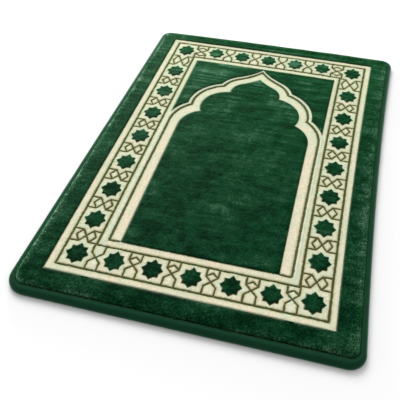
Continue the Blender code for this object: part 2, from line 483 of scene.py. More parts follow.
def row_cell(half_x, half_y, near, far, roof_far, roof_near):
    """Lines of the interlace between two stars of a row, round its middle.

    near and far are how far off the carved lines are, and each roof is the share of the slanting
    lines that close the small lozenge over or under the crossing.
    """
    lines = cross_lines(half_x, half_y)
    for side in (-1, 1):
        lines.append((side * half_x, half_y, side * half_x, far))
        lines.append((side * half_x, -half_y, side * half_x, -near))
        for roof, turn in ((roof_far, 1), (roof_near, -1)):
            if roof:
                end_x = side * half_x * (1 - roof)
                end_y = turn * (half_y + LOZENGE_ROOF * roof)
                lines.append((side * half_x, turn * half_y, end_x, end_y))
    return lines


def column_cell(half_x, half_y, tip):
    """Lines of the interlace between two stars of a column: a crossing between two lozenges."""
    lines = cross_lines(half_x, half_y)
    stub = (OUTER_LINE[0] - INNER_LINE[0]) / 2
    for side in (-1, 1):
        for turn in (-1, 1):
            lines.append((side * half_x, turn * half_y, side * tip, 0.0))
            lines.append((side * half_x, turn * half_y, side * stub, turn * half_y))
    return lines


def interlace():
    """Every line of the interlace, as its two ends."""
    lines = []

    def put(cell, middle_x, middle_y):
        for x0, y0, x1, y1 in cell:
            lines.append((x0 + middle_x, y0 + middle_y, x1 + middle_x, y1 + middle_y))

    for side in (-1, 1):
        for i in range(3):
            middle = side * (i + 0.5) * NEAR_PITCH
            near, far = NEAR_ROW_Y - OUTER_LINE[1], INNER_LINE[1] - NEAR_ROW_Y
            roof = 0.0 if (side, i) == (-1, 2) else 1.0  # the leftmost crossing has no lozenge over it
            put(row_cell(*NEAR_CROSSING, near, far, roof, 0.0), middle, NEAR_ROW_Y)
        for i in range(2):
            near, far = FAR_ROW_Y - INNER_LINE[2], OUTER_LINE[2] - FAR_ROW_Y
            middle = FAR_ROW_X + side * (i + 0.5) * FAR_PITCH
            put(row_cell(*FAR_CROSSING, near, far, 0.0, 0.0), middle, FAR_ROW_Y - FAR_CROSSING_LOW)
        end = (FAR_ROW_X + side * (2 * FAR_PITCH + COLUMN_X)) / 2
        put(row_cell(*FAR_END_CROSSING, near, far, 1.0, 1.0), end, FAR_ROW_Y - FAR_END_LOW)
        column = (NEAR_CORNER_Y, *(LEFT_STARS_Y if side < 0 else RIGHT_STARS_Y))
        for low, high in zip(column, column[1:]):
            put(column_cell(*COLUMN_CROSSING), side * COLUMN_X, (low + high) / 2)
        put(column_cell(*TOP_CROSSING), side * COLUMN_X, (column[-1] + FAR_CORNER_Y) / 2)
    return lines


def lace_distance(x, y):
    """Distance from the edge of the nearest line of the interlace, below zero on it."""
    found = np.full_like(x, LACE_FAR_OFF)
    for x0, y0, x1, y1 in interlace():
        close = (x > min(x0, x1) - LACE_REACH) & (x < max(x0, x1) + LACE_REACH)
        close &= (y > min(y0, y1) - LACE_REACH) & (y < max(y0, y1) + LACE_REACH)
        if not close.any():
            continue
        dx, dy = x1 - x0, y1 - y0
        px, py = x[close] - x0, y[close] - y0
        t = np.clip((px * dx + py * dy) / (dx * dx + dy * dy), 0, 1)
        away = np.hypot(px - t * dx, py - t * dy) - LACE_HALF_WIDTH
        found[close] = np.minimum(found[close], away)
    return found


def green_depth(x, y):
    """How far inside green pile each place of the pattern is, below zero in cream."""
    outline = OUTLINE_REACH - OUTLINE_THINNED * ramp(y, *OUTLINE_TOP)
    spandrel = np.minimum(
        -box_distance(x, y, FIELD_EDGE), niche_distance(x, y, GROOVE_LOBES) - outline
    )
    niche = np.minimum(-niche_distance(x, y, NICHE_LOBES), y - FIELD_EDGE[1])
    strayed = x + FRAME_STRAYS[0] + FRAME_STRAYS[1] * ramp(y, *FRAME_LEAN)
    found = np.maximum(box_distance(strayed, y, FRAME_EDGE), np.maximum(spandrel, niche))
    return np.maximum(found, -star_distance(x, y))


def line_gap(x, y):
    """Distance from the edge of the nearest carved line, below zero on it."""
    found = np.abs(box_distance(x, y, OUTER_LINE)) - LINE_HALF_WIDTH
    found = np.minimum(found, np.abs(box_distance(x, y, INNER_LINE)) - LINE_HALF_WIDTH)
    groove = np.abs(niche_distance(x, y, GROOVE_LOBES)) - GROOVE_HALF_WIDTH
    groove -= GROOVE_WIDENED * ramp(y, *ARCH_START)
    found = np.minimum(found, np.maximum(groove, FOOT_LINE - y))
    leg_in = NICHE_LOBES[-1][0] + NICHE_LOBES[-1][2]
    leg_out = GROOVE_LOBES[-1][0] + GROOVE_LOBES[-1][2]
    off_leg = np.maximum(leg_in - np.abs(x), np.abs(x) - leg_out)
    foot = np.maximum(np.abs(y - FOOT_LINE) - LINE_HALF_WIDTH, off_leg)
    found = np.minimum(np.minimum(found, foot), lace_distance(x, y))
    return found + LINE_UNEVEN * lumps(x, y, LINE_UNEVEN_SIZE, 51)


def carving(green, line, sizes):
    """How far below the pile's top each place is sheared."""
    risen = np.clip(green / sizes.edge_round, 0, 1)
    narrow = 1 - ramp(line - green, *NARROW_CREAM)
    depth = sizes.cream_drop * (1 - np.sqrt(1 - (1 - risen) ** 2)) * (1 - NARROW_KEPT * narrow)
    depth += EDGE_CUT * np.exp(-((green / EDGE_CUT_REACH) ** 2))
    on_cream = 1 - ramp(green, *CREAM_SIDE)
    return depth + sizes.groove_depth * (1 - ramp(line, *GROOVE_WALL)) * on_cream


def faces_away(px, py, green):
    """How far the green pile's nearest edge faces away from the light: 1 wholly, -1 right into it."""
    step = 0.001
    falls_right = green - green_depth(px + step, py)
    falls_near = green - green_depth(px, py - step)
    return np.clip((LIGHT_FROM_LEFT * falls_right + falls_near) / step, -1, 1)


def green_tone_and_painted_light(px, py, green, away):
    """How much paler than usual the green pile is: where it was brushed, with painted sheen, and with
    painted shade at its cut edges.
    """
    pale = DRIFT * lumps(px, py, DRIFT_SIZE, 21)
    less = 1 - RIGHT_STREAK_LESS * ramp(px, *RIGHT_STREAK_FROM)
    streaks = STREAK + FAR_STREAK * ramp(py, *FAR_STREAK_FROM) * less
    swayed = py + SWAY * lumps(px, py, SWAY_SIZE, 42)
    pale += streaks * lumps(px * STREAK_RATIO, swayed, STREAK_SIZE, 41)
    for middle_x, middle_y, reach_x, reach_y, paler in BRUSHED_AND_SHEEN:
        pale += paler * np.exp(-(((px - middle_x) / reach_x) ** 2) - ((py - middle_y) / reach_y) ** 2)
    near_edge = np.exp(-((np.clip(green, 0, None) / CUT_REACH) ** 2))
    return pale - near_edge * (CUT_DARKER + CUT_AWAY_DARKER * np.clip(away, 0, 1))


def nap(x, y):
    """How far the pile's own unevenness raises each place."""
    return sum(height * lumps(x, y * shorter, size, seed) for height, size, shorter, seed in NAP)


# ---- Mesh building ----


def mesh_piece(name, points, corners, face_sizes, smooth, material, values=None):
    """A mesh object from flat arrays of points, face corners and face sizes."""
    mesh = bpy.data.meshes.new(name)
    mesh.vertices.add(len(points))
    mesh.vertices.foreach_set("co", np.asarray(points, np.float32).ravel())
    mesh.loops.add(len(corners))
    mesh.loops.foreach_set("vertex_index", np.asarray(corners, np.int32))
    mesh.polygons.add(len(face_sizes))
    starts = np.concatenate([[0], np.cumsum(face_sizes)[:-1]])
    mesh.polygons.foreach_set("loop_start", starts.astype(np.int32))
    mesh.update(calc_edges=True)
    mesh.polygons.foreach_set("use_smooth", np.asarray(smooth, bool))
    for key, value in (values or {}).items():
        attribute = mesh.attributes.new(key, "FLOAT", "POINT")
        attribute.data.foreach_set("value", np.asarray(value, np.float32))
    mesh.materials.append(material)
    mesh.update()
    if mesh.validate():
        raise RuntimeError(f"{name} has faces that don't make a mesh")
    piece = bpy.data.objects.new(name, mesh)
    bpy.context.scene.collection.objects.link(piece)
    return piece


def rolled(loop):
    """Each corner of a loop with the next one."""
    return loop, np.roll(loop, -1)


def quads(a, b, c, d):
    """The corners of four-sided faces, one face for each place in the four arrays."""
    return np.stack([a, b, c, d], axis=-1).reshape(-1, 4)


def slab(name, top, floor, ring, material, values):
    """A closed slab under a grid of points. The grid is a rectangle, or a ring of rows all round."""
    rows, columns = top.shape[:2]
    index = np.arange(rows * columns).reshape(rows, columns)
    if ring:
        left, right = index, np.roll(index, -1, axis=1)
        rims = [(index[0], 1), (index[-1], -1)]
    else:
        left, right = index[:, :-1], index[:, 1:]
        edge = np.concatenate([index[0], index[1:, -1], index[-1, -2::-1], index[-2:0:-1, 0]])
        rims = [(edge, 1)]
    upper = quads(left[:-1], right[:-1], right[1:], left[1:])
    points = [top.reshape(-1, 3)]
    count, walls, feet = rows * columns, [], []
    for rim, turn in rims:
        below = points[0][rim].copy()
        below[:, 2] = floor
        points.append(below)
        foot = np.arange(count, count + len(rim))
        feet.append(foot)
        count += len(rim)
        (a, b), (c, d) = rolled(rim), rolled(foot)
        walls.append(quads(c, d, b, a) if turn == 1 else quads(d, c, a, b))
    sides = np.concatenate(walls)
    corners, face_sizes = [upper.ravel(), sides.ravel()], [4] * (len(upper) + len(sides))
    if ring:
        (a, b), (c, d) = rolled(feet[0]), rolled(feet[1])
        bottom = quads(a, c, d, b)
        corners.append(bottom.ravel())
        face_sizes += [4] * len(bottom)
    else:
        corners.append(feet[0][::-1])
        face_sizes.append(len(feet[0]))
    smooth = np.zeros(len(face_sizes), bool)
    smooth[: len(upper)] = True
    rim_all = np.concatenate([rim for rim, _ in rims])
    spread = {key: np.concatenate([v.ravel(), v.ravel()[rim_all]]) for key, v in values.items()}
    return mesh_piece(
        name, np.concatenate(points), np.concatenate(corners), face_sizes, smooth, material, spread
    )


def swept(name, insets, heights, per_side, material, closed, moved=None, values=None):
    """The solid that a section sweeps round the rug's edge. An open section gets two flat lids."""
    rings = []
    for k, (inset, height) in enumerate(zip(insets, heights)):
        flat = edge_loop(inset, per_side)
        ring = np.column_stack([flat, np.full(len(flat), height)])
        rings.append(ring if moved is None else moved(ring, k))
    count = 4 * per_side
    index = np.arange(len(rings) * count).reshape(len(rings), count)
    following = np.roll(index, -1, axis=0) if closed else index[1:]
    base = index if closed else index[:-1]
    a, b = base, np.roll(base, -1, axis=1)
    c, d = np.roll(following, -1, axis=1), following
    corners = [quads(a, b, c, d).ravel()]
    face_sizes = [4] * (len(base) * count)
    if not closed:
        corners += [index[0][::-1], index[-1]]
        face_sizes += [count, count]
    smooth = np.ones(len(face_sizes), bool)
    if not closed:
        smooth[-2:] = False
    spread = {key: np.repeat(value, count) for key, value in (values or {}).items()}
    return mesh_piece(
        name, np.concatenate(rings), np.concatenate(corners), face_sizes, smooth, material, spread
    )


def arc_section(centre, radius, start, end, steps):
    """Points of an arc of a section as (inset, height), between two angles in degrees."""
    turn = np.radians(np.linspace(start, end, steps + 1))
    return [(centre[0] - radius * cos(t), centre[1] + radius * sin(t)) for t in turn]


# ---- Materials ----


def opaque(colour, strength=1.0):
    """A linear colour for a socket, made darker or paler by its strength."""
    return (*(part * strength for part in colour), 1.0)


def per_metre(millimetres):
    """A noise texture's scale for features of this size."""
    return 1000.0 / millimetres


def add_node(tree, kind, links, gives=0, **settings):
    """Adds a node with its settings and with values or links for its inputs, and returns one output."""
    node = tree.nodes.new("ShaderNode" + kind)
    for key, value in settings.items():
        setattr(node, key, value)
    for key, value in links.items():
        if isinstance(value, bpy.types.NodeSocket):
            tree.links.new(value, node.inputs[key])
        else:
            node.inputs[key].default_value = value
    return node.outputs[gives]


def new_material(name, **sockets):
    """A material and its shader, with the values that are the same all over the surface."""
    material = bpy.data.materials.new(name)
    material.use_nodes = True
    shader = material.node_tree.nodes["Principled BSDF"]
    for key, value in sockets.items():
        shader.inputs[key.replace("_", " ").title().replace("Ior", "IOR")].default_value = value
    return material, material.node_tree, shader


def plush_material(colours):
    """Polyester velour, sheared to a short cut pile.

    The tips scatter light in a soft haze, brighter where the pile is seen edge on, and each clump of
    tufts leans its own way, so the green is flecked and faintly swept from side to side.
    """
    name = "polyester_velour_cut_pile"
    if name in bpy.data.materials:
        return bpy.data.materials[name]
    material, tree, shader = new_material(
        name,
        roughness=0.66,
        ior=1.50,
        specular_ior_level=0.03,
        specular_tint=opaque(linear("#5AFFB3")),
        sheen_weight=0.61,
        sheen_roughness=0.36,
        sheen_tint=opaque(linear("#4AFF83")),
    )
    node = partial(add_node, tree)
    two_colours = {"gives": 2, "data_type": "RGBA"}
    place = node("TexCoord", {}, "Object")
    depth, gap, lit_edge_blend, line_shade_mask, coolness, grain, tone_and_painted_light = (
        node("Attribute", {}, "Fac", attribute_name=held)
        for held in ("green_depth", "line_gap", "lit_edge_blend", "line_shade_mask", "coolness", "grain", "tone_and_painted_light")
    )

    # Clumps of tuft tips are about 1 mm; they are drawn at 4 mm, the finest that shows in the render.
    clump = node("TexNoise", {"Vector": place, "Scale": per_metre(4.2), "Detail": 3.0, "Roughness": 0.62})
    sweep = node("TexNoise", {"Vector": place, "Scale": per_metre(70), "Detail": 4.0, "Roughness": 0.90})
    green_share = node("Math", {0: clump, 1: 0.5}, operation="SUBTRACT")
    green_share = node("Math", {0: green_share, 1: grain, 2: sweep}, operation="MULTIPLY_ADD")
    # The tone adds the pile's drifts and streaks, and painted sheen and painted shade.
    green_share = node("Math", {0: green_share, 1: tone_and_painted_light}, operation="ADD")
    green = node("ValToRGB", {"Fac": green_share})
    stops = green.node.color_ramp.elements
    stops[0].position, stops[0].color = 0.37, opaque(colours.green_deep)
    stops[1].position, stops[1].color = 1.00, opaque(colours.green_frost)
    stops.new(0.90).color = opaque(colours.green_tips)
    stops.new(0.60).color = opaque(colours.green_pale)
    stops.new(0.50).color = opaque(colours.green_mid)

    # How far each place is past an edge, from 0 to 1 between two distances. The tufts there don't all
    # end in line, so each distance is frayed first.
    fray = node("TexNoise", {"Vector": place, "Scale": per_metre(2.4), "Detail": 1.0})
    gap, depth = (
        node("Math", {0: fray, 1: FRAY_DEPTH, 2: distance}, operation="MULTIPLY_ADD")
        for distance in (gap, depth)
    )
    off_line, off_shade, off_stain, by_green, at_green = (
        node(
            "MapRange",
            {"Value": distance, "From Min": FRAY_DEPTH / 2 + low, "From Max": FRAY_DEPTH / 2 + high},
            interpolation_type="SMOOTHSTEP",
        )
        for distance, low, high in (
            (gap, -0.0008, 0.0008),
            (gap, 0.0, 0.0055),
            (gap, 0.0010, 0.0120),
            (depth, -0.0090, -0.0010),
            (depth, -0.0010, 0.0002),
        )
    )

    # The cream's dye is patchy: cooler beside the carved lines and the green, warmer away from them.
    dye = node("TexNoise", {"Vector": place, "Scale": per_metre(26), "Detail": 1.0})
    dye = node("Math", {0: dye, 1: 0.5}, operation="SUBTRACT")
    dye = node("Math", {0: dye, 1: 1.7, 2: coolness}, operation="MULTIPLY_ADD")
    dye = node("Math", {0: off_stain, 1: -0.55, 2: dye}, operation="MULTIPLY_ADD")
    dye = node("Math", {0: by_green, 1: 0.35, 2: dye}, operation="MULTIPLY_ADD")
    tints = {0: dye, 6: opaque(colours.cream), 7: opaque(colours.cream_cool)}
    dyed = node("Mix", tints, **two_colours)

    # The cream pile was cut in slanting ribs, and beside the carved lines it carries painted shade, so it
    # is darker there.
    turned = {"Vector": place, "Rotation": (0.0, 0.0, radians(35)), "Scale": (1.0, 0.28, 1.0)}
    slant = node("Mapping", turned)
    ribs = node("TexNoise", {"Vector": slant, "Scale": per_metre(4.5), "Detail": 1.0})
    ribs = node("Math", {0: ribs, 1: 0.9}, operation="MULTIPLY")
    tips = node("Math", {0: clump, 1: 0.9}, operation="MULTIPLY")
    cream_grain_and_shade = node("Math", {0: ribs, 1: tips}, operation="ADD")
    shaded = node("Math", {0: 1.0, 1: off_shade}, operation="SUBTRACT")
    shaded = node("Math", {0: shaded, 1: line_shade_mask}, operation="MULTIPLY")
    cream_grain_and_shade = node("Math", {0: shaded, 1: -0.80, 2: cream_grain_and_shade}, operation="MULTIPLY_ADD")
    cream_grain_and_shade = node("Math", {0: cream_grain_and_shade, 1: -0.15}, operation="ADD")
    cream = node("Mix", {0: cream_grain_and_shade, 6: opaque(colours.cream_shade), 7: dyed}, **two_colours)
    lined = node("Mix", {0: off_line, 6: opaque(colours.line), 7: cream}, **two_colours)

    # Where the green pile's edge faces the light, the cream tufts lie against it and the lit wall is
    # painted as a wide, pale blend. Elsewhere it is a crisp cut in the carved line's colour, which is
    # painted shade.
    crisp = node("Math", {0: 1.0, 1: lit_edge_blend}, operation="SUBTRACT")
    cut = node("Math", {0: at_green, 1: crisp}, operation="MULTIPLY")
    edged = node("Mix", {0: cut, 6: lined, 7: opaque(colours.line)}, **two_colours)
    start = node("Math", {0: lit_edge_blend, 1: -0.0036, 2: 0.0019}, operation="MULTIPLY_ADD")
    end = node("Math", {0: lit_edge_blend, 1: 0.0096, 2: 0.0037}, operation="MULTIPLY_ADD")
    ends = {"Value": depth, "From Min": start, "From Max": end, "To Min": 1.0, "To Max": 0.0}
    creamy = node("Math", {0: node("MapRange", ends), 1: 4.0}, operation="POWER")
    greened = node("Math", {0: 1.0, 1: creamy}, operation="SUBTRACT")
    colour = node("Mix", {0: greened, 6: edged, 7: green}, **two_colours)

    bump = node("Bump", {"Height": clump, "Strength": 0.55, "Distance": 0.0011})
    tree.links.new(colour, shader.inputs["Base Color"])
    tree.links.new(bump, shader.inputs["Normal"])
    return material


def tape_material(colours):
    """Warp-knitted polyester tape: close and smooth, with a fine even grain and a low sheen."""
    material, tree, shader = new_material(
        "warp_knitted_tape",
        roughness=0.70,
        ior=1.50,
        specular_ior_level=0.03,
        sheen_weight=0.86,
        sheen_roughness=0.34,
        sheen_tint=opaque(linear("#B8ECCB")),
    )
    node = partial(add_node, tree)
    place = node("TexCoord", {}, "Object")
    # Stitches of the knit are under 1 mm; they are drawn at 1.6 mm, which shows as a faint grain.
    knit = node("TexNoise", {"Vector": place, "Scale": per_metre(1.6), "Detail": 2.0})
    # The knit carries a painted highlight along the top, where it is stretched, and painted shade where
    # the seam pulls it in.
    cast = node("TexNoise", {"Vector": place, "Scale": per_metre(45), "Detail": 2.0})
    tape_light_and_shade = node("Attribute", {}, "Fac", attribute_name="tape_light_and_shade")
    paler = node("Math", {0: cast, 1: 0.3, 2: 0.35}, operation="MULTIPLY_ADD")
    paler = node("Math", {0: tape_light_and_shade, 1: 0.28, 2: paler}, operation="MULTIPLY_ADD")
    shades = {0: paler, 6: opaque(colours.tape, 0.30), 7: opaque(colours.tape, 1.70)}
    colour = node("Mix", shades, gives=2, data_type="RGBA")

    bump = node("Bump", {"Height": knit, "Strength": 0.25, "Distance": 0.0004})
    tree.links.new(colour, shader.inputs["Base Color"])
    tree.links.new(bump, shader.inputs["Normal"])
    return material


def underside_material(colours):
    """Plain-woven polyester backing cloth: flat and matt, its threads under 1 mm apart."""
    material, tree, shader = new_material(
        "woven_backing_cloth", roughness=0.88, ior=1.50, specular_ior_level=0.25
    )
    node = partial(add_node, tree)
    place = node("TexCoord", {}, "Object")
    # The threads are too fine to show, so they are drawn as soft bands 19 mm apart: a wave texture has
    # 10 / pi bands in each unit, and the unit is 60 mm here.
    bands = {"Vector": place, "Scale": per_metre(60), "Distortion": 0.4}
    warp, weft = (node("TexWave", bands, "Fac", bands_direction=axis) for axis in ("X", "Y"))
    weave = node("Math", {0: warp, 1: weft}, operation="MULTIPLY")
    shades = {0: weave, 6: opaque(colours.underside, 0.7), 7: opaque(colours.underside)}
    colour = node("Mix", shades, gives=2, data_type="RGBA")

    bump = node("Bump", {"Height": weave, "Strength": 0.3, "Distance": 0.0004})
    tree.links.new(colour, shader.inputs["Base Color"])
    tree.links.new(bump, shader.inputs["Normal"])
    return material


# ---- The pieces ----


def finish_piece(piece):
    """Fixes a piece to the rug's one body."""
    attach(piece, BODY)
    return piece


def pattern_values(px, py):
    """What the material reads at each point: the pattern, its tints, how the pile leans, and painted light
    and shade at the pile's edges and beside the lines.
    """
    green = green_depth(px, py)
    away = faces_away(px, py, green)
    off_groove = niche_distance(px, py, GROOVE_LOBES)
    off_star = ramp(star_distance(px, py), *STAR_BESIDE)
    lit_edge_blend = np.clip(-away, 0, 1) * (STAR_LIT_BLEND + (1 - STAR_LIT_BLEND) * off_star)
    lit_edge_blend *= 1 - RIGHT_CRISPER * ramp(px, *RIGHT_FROM)
    lit_edge_blend *= ramp(np.abs(off_groove - OUTLINE_REACH), *OUTLINE_BESIDE)
    line_shade_mask = 1 - ramp(green, *SHADE_BESIDE_GREEN)
    line_shade_mask = line_shade_mask * ramp(np.abs(off_groove - OUTLINE_MIDDLE), *SHADE_BESIDE_OUTLINE)
    in_band = np.minimum(-box_distance(px, py, OUTER_LINE), box_distance(px, py, INNER_LINE))
    on_leg = (1 - ramp(off_groove, *LEG_BLEND)) * (1 - ARCH_COOLER * ramp(py, *LEG_TO_ARCH))
    return {
        "green_depth": green,
        "coolness": COOLNESS + BAND_COOLER * ramp(in_band, *BAND_BLEND) - LEG_WARMER * on_leg,
        "line_gap": line_gap(px, py),
        "lit_edge_blend": lit_edge_blend,
        "line_shade_mask": line_shade_mask,
        "tone_and_painted_light": green_tone_and_painted_light(px, py, green, away),
        "grain": np.full_like(green, FLAT_GRAIN),
    }


def pattern_slab(name, box, pitch, sizes, material):
    """A rectangle of the pile cloth, from its edges (left, right, near, far) in the straight pattern."""
    left, right, near, far = box
    across = np.linspace(left, right, round((right - left) / pitch) + 1)
    along = np.linspace(near, far, round((far - near) / pitch) + 1)
    px, py = np.meshgrid(across, along)
    values = pattern_values(px, py)
    x, y = on_rug(px, py)
    z = PILE_TOP - carving(values["green_depth"], values["line_gap"], sizes) + nap(x, y)
    piece = slab(name, np.stack([x, y, z], axis=-1), CLOTH_BASE, False, material, values)
    return finish_piece(piece)


def rectangle_loop(box, per_side):
    """Points round a rectangle of the pattern, on the rug, in the order of edge_loop."""
    half, near, far = box
    t = np.linspace(0, 1, per_side, endpoint=False)
    corners = [(-half, near), (half, near), (half, far), (-half, far)]
    sides = []
    for (x0, y0), (x1, y1) in zip(corners, corners[1:] + corners[:1]):
        sides.append(np.stack([x0 + (x1 - x0) * t, y0 + (y1 - y0) * t], axis=-1))
    flat = np.concatenate(sides)
    return np.stack(on_rug(flat[:, 0], flat[:, 1]), axis=-1)


def border_rows(sizes):
    """The pile border as rows of points from the seam inwards, with each point's way out of the pile."""
    per_side = round((WIDTH + LENGTH) / 2 / sizes.border_pitch)
    shoulder_rows, edge_rows, cream_rows = 9, 5, 13
    green_width, edge_width = 0.038, 0.006  # the green pile, and the part of it beside the cream frame
    rows, outward = [], []

    def add_row(flat, height, share_outward):
        rows.append(np.column_stack([flat, np.full(len(flat), height)]))
        outward.append(share_outward)

    for turn in np.radians(np.linspace(0, 90, shoulder_rows)):
        flat = edge_loop(SEAM_INSET + SHOULDER_WIDTH * (1 - cos(turn)), per_side)
        add_row(flat, SEAM_HEIGHT + (PILE_TOP - SEAM_HEIGHT) * sin(turn), cos(turn))
    outer, inner = rows[-1][:, :2], rectangle_loop(FRAME_EDGE, per_side)
    edge_share = edge_width / green_width
    plain_rows = round((green_width - edge_width) / sizes.border_pitch)
    steps = [*np.linspace(0, 1, plain_rows)[1:] * (1 - edge_share)]
    steps += [1 - edge_share * (1 - k / edge_rows) for k in range(1, edge_rows + 1)]
    for share in steps:
        add_row(outer + (inner - outer) * share, PILE_TOP, 0.0)
    for k in range(1, cream_rows + 1):
        box = [f + (o - f) * (k / cream_rows) for f, o in zip(FRAME_EDGE, OUTER_LINE)]
        add_row(rectangle_loop(box, per_side), PILE_TOP, 0.0)
    return np.array(rows), np.array(outward)


def way_out(rows):
    """The level direction out of the rug at each point of the outermost row."""
    edge = rows[0][:, :2]
    heading = unit(np.roll(edge, -1, axis=0) - np.roll(edge, 1, axis=0))
    return np.column_stack([heading[:, 1], -heading[:, 0], np.zeros(len(edge))])


def shaped_border(sizes):
    """The pile border's finished surface: its points and its pattern values."""
    rows, outward = border_rows(sizes)
    x, y = rows[..., 0], rows[..., 1]
    px, py = on_pattern(x, y)
    values = pattern_values(px, py)
    from_seam = np.linalg.norm(rows[..., :2] - rows[:1, :, :2], axis=-1)
    out = way_out(rows)
    rightwards, leftwards = np.clip(out[:, 0], 0, 1), np.clip(-out[:, 0], 0, 1)
    sideways = out[:, 0] ** 2
    near_seam = np.exp(-((from_seam / RIM_REACH) ** 2))
    # Painted sheen along the rim, painted highlights on the left rim and the end shoulders, and painted
    # shade in the seam.
    values["tone_and_painted_light"] += near_seam * (RIM_PALER + sideways * (SIDE_PALER + RIGHT_PALER * out[:, 0]))
    left_rim = sum(paler * np.exp(-((from_seam / reach) ** 2)) for paler, reach in LEFT_RIM)
    values["tone_and_painted_light"] += left_rim * leftwards
    values["tone_and_painted_light"] += END_SHOULDER_HIGHLIGHT * outward[:, None] * (1 - sideways)
    values["tone_and_painted_light"] -= SEAM_DARKER * (1 - ramp(from_seam, *SEAM_SHADE))
    grain = BORDER_GRAIN + RIM_GRAIN * near_seam + SIDE_GRAIN * sideways
    values["grain"] = grain - RIGHT_RIM_SMOOTHER * near_seam * rightwards
    raised = nap(x, y) - carving(values["green_depth"], values["line_gap"], sizes)
    raised += SHOULDER_LUMP * lumps(x, y, SHOULDER_LUMP_SIZE, 8) * outward[:, None]
    level = outward[:, None, None] * out[None]
    up = np.sqrt(1 - outward**2)[:, None, None] * np.array([0.0, 0.0, 1.0])
    return rows + raised[..., None] * (level + up), values


class RUG_OT_foam_pad(bpy.types.Operator):
    """Make the foam pad under the pile, with the cloth of the underside"""

    bl_idname = "prayer_rug.foam_pad"
    bl_label = "Foam pad"

    def execute(self, context):
        covered = TAPE_THICK + SEWN_GAP
        top = CLOTH_BASE - SEWN_GAP
        section = [(SEAM_INSET, 0.0), (SEAM_INSET, covered)]
        section += arc_section(FOOT_CENTRE, TAPE_ROUND_FOOT - covered, -90, 0, 5)
        section += arc_section(TOP_CENTRE, TAPE_ROUND_TOP - covered, 0, 50, 5)
        section += [(SEAM_INSET, top - PAD_BEVEL[1]), (SEAM_INSET + PAD_BEVEL[0], top)]
        insets, heights = zip(*section)
        material = underside_material(context.scene.rug_colours)
        pad = swept("foam_pad", insets, heights, PAD_PER_SIDE, material, closed=False)
        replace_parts(finish_piece(pad), "plush_mat")
        return {"FINISHED"}


class RUG_OT_pile_border(bpy.types.Operator):
    """Make the green pile border with its round shoulder, and the outer cream line"""

    bl_idname = "prayer_rug.pile_border"
    bl_label = "Pile border"

    def execute(self, context):
        points, values = shaped_border(context.scene.rug_sizes)
        material = plush_material(context.scene.rug_colours)
        piece = slab("pile_border", points, CLOTH_BASE, True, material, values)
        # The cloth runs on under the tape to the rug's edge.
        finish_piece(piece)
        return {"FINISHED"}


class RUG_OT_star_bands(bpy.types.Operator):
    """Make the four bands of stars and interlace"""

    bl_idname = "prayer_rug.star_bands"
    bl_label = "Star bands"

    def execute(self, context):
        sizes = context.scene.rug_sizes
        material = plush_material(context.scene.rug_colours)
        out, near_out, far_out = OUTER_LINE
        inner, near_in, far_in = INNER_LINE
        bands = {
            "left": (-out, -inner, near_out, far_out),
            "right": (inner, out, near_out, far_out),
            "near": (-inner, inner, near_out, near_in),
            "far": (-inner, inner, far_in, far_out),
        }
        for side, box in bands.items():
            pattern_slab("pile_stars_" + side, box, sizes.band_pitch, sizes, material)
        return {"FINISHED"}


class RUG_OT_pile_field(bpy.types.Operator):
    """Make the field: the inner cream line, the niche and the green corners over it"""

    bl_idname = "prayer_rug.pile_field"
    bl_label = "Pile field"

    def execute(self, context):
        sizes = context.scene.rug_sizes
        half, near, far = INNER_LINE
        material = plush_material(context.scene.rug_colours)
        pattern_slab("pile_field", (-half, half, near, far), sizes.field_pitch, sizes, material)
        return {"FINISHED"}


class RUG_OT_rim_tufts(bpy.types.Operator):
    """Make the loose tufts that stand out of the pile's rim"""

    bl_idname = "prayer_rug.rim_tufts"
    bl_label = "Rim tufts"

    def execute(self, context):
        sizes = context.scene.rug_sizes
        points, _ = shaped_border(sizes)
        out = way_out(points)
        rng = np.random.default_rng(seed=7)
        count = TUFT_COUNT
        rows = rng.beta(*TUFT_SPREAD, count) * TUFT_ROWS
        columns = rng.random(count) * points.shape[1]
        row, column = rows.astype(int), columns.astype(int)
        next_column = (column + 1) % points.shape[1]
        up, along = (rows - row)[:, None], (columns - column)[:, None]
        low = points[row, column] * (1 - along) + points[row, next_column] * along
        high = points[row + 1, column] * (1 - along) + points[row + 1, next_column] * along
        base = low * (1 - up) + high * up
        normal = unit(np.cross(points[row, next_column] - points[row, column], high - low))
        strayed = out[column] * TUFT_OUTWARD + rng.normal(0, TUFT_STRAYS, (count, 3))
        heading = unit(normal + strayed)
        length = sizes.tuft_length * rng.uniform(*TUFT_LENGTHS, count)[:, None]
        side = unit(np.cross(heading, rng.normal(0, 1, (count, 3))))
        third = np.cross(heading, side)
        root = base - heading * TUFT_ROOT
        ring = [
            root + TUFT_RADIUS * (side * cos(turn) + third * sin(turn))
            for turn in (0, 2 * pi / 3, 4 * pi / 3)
        ]
        tufts = np.stack([*ring, base + heading * length], axis=1).reshape(-1, 3)
        first = np.arange(count) * 4
        faces = [(0, 1, 3), (1, 2, 3), (2, 0, 3), (0, 2, 1)]
        corners = np.stack([first + k for face in faces for k in face], axis=-1).ravel()
        plain = np.full(len(tufts), OFF_EDGES)
        values = {"green_depth": plain, "line_gap": plain, "lit_edge_blend": 0 * plain, "grain": plain}
        paler = TUFT_PALER + TUFT_CLUMP * lumps(base[:, 0], base[:, 1], TUFT_CLUMP_SIZE, 31)
        # Painted highlight on the tufts of the left rim, which faces the light.
        paler += LEFT_TUFT_HIGHLIGHT * np.clip(-out[column, 0], 0, 1)
        values["tone_and_painted_light"] = np.repeat(paler + rng.normal(0.0, TUFT_UNLIKE, count), 4)
        material = plush_material(context.scene.rug_colours)
        smooth = np.ones(count * 4, bool)
        piece = mesh_piece("pile_rim_tufts", tufts, corners, [3] * (count * 4), smooth, material, values)
        finish_piece(piece)
        return {"FINISHED"}


